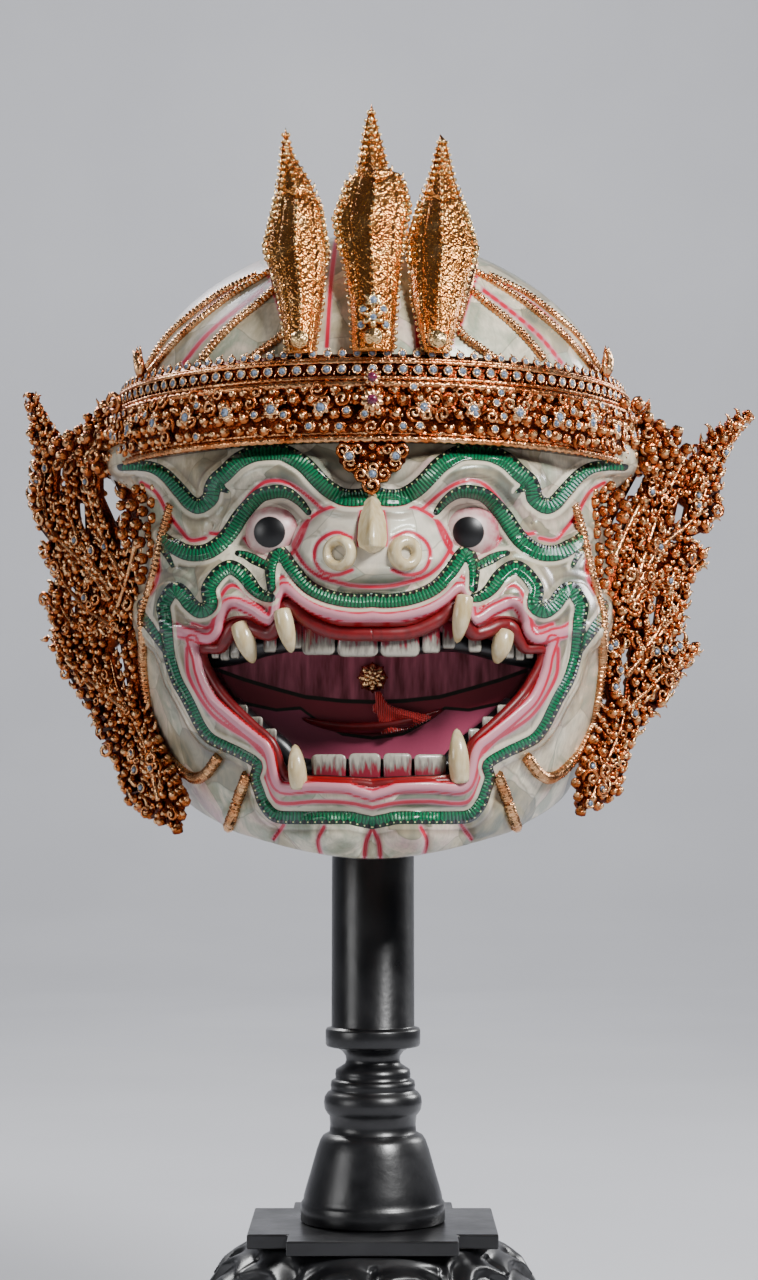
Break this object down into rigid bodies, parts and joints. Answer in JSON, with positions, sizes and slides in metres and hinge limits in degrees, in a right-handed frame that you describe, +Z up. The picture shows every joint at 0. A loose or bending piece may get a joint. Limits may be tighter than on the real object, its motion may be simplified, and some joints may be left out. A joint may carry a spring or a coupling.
{
  "type": "thai khon mask on a stand",
  "caption": "Carved and painted Thai khon mask of a monkey warrior with a gilt diadem, spires and ear flames, resting on a turned and carved black stand.",
  "frame": {"origin": "middle of the stand base's flat underside", "axes": "+Z up along the column, the mask's face looks along -Y"},
  "size_m": [0.3683, 0.276, 0.6347],
  "materials": {
    "pearl_lacquer": "mother-of-pearl plates under clear lacquer, with green, red and pink painted ribbons",
    "gilt": "coppery gold leaf over moulded lacquer, set with glass stones",
    "bone": "polished shell and bone",
    "eye": "polished shell with a painted black pupil",
    "red_thread": "red silk thread",
    "black_lacquer": "black lacquered wood, semi-gloss"
  },
  "bodies": {
    "root": {"mask_shell": "pearl_lacquer", "diadem": "gilt", "ear_flame_right": "gilt", "ear_flame_left": "gilt", "spire_centre": "gilt", "spire_left": "gilt", "spire_right": "gilt", "nose_bridge": "bone", "nostril_right": "bone", "nostril_left": "bone", "eye_right": "eye", "eye_left": "eye", "fang_upper_inner_right": "bone", "fang_upper_inner_left": "bone", "fang_upper_outer_right": "bone", "fang_upper_outer_left": "bone", "fang_lower_right": "bone", "fang_lower_left": "bone", "mouth_rosette": "gilt", "mouth_tassel": "red_thread", "stand_column": "black_lacquer", "stand_slab": "black_lacquer", "stand_base": "black_lacquer"}
  },
  "joints": []
}
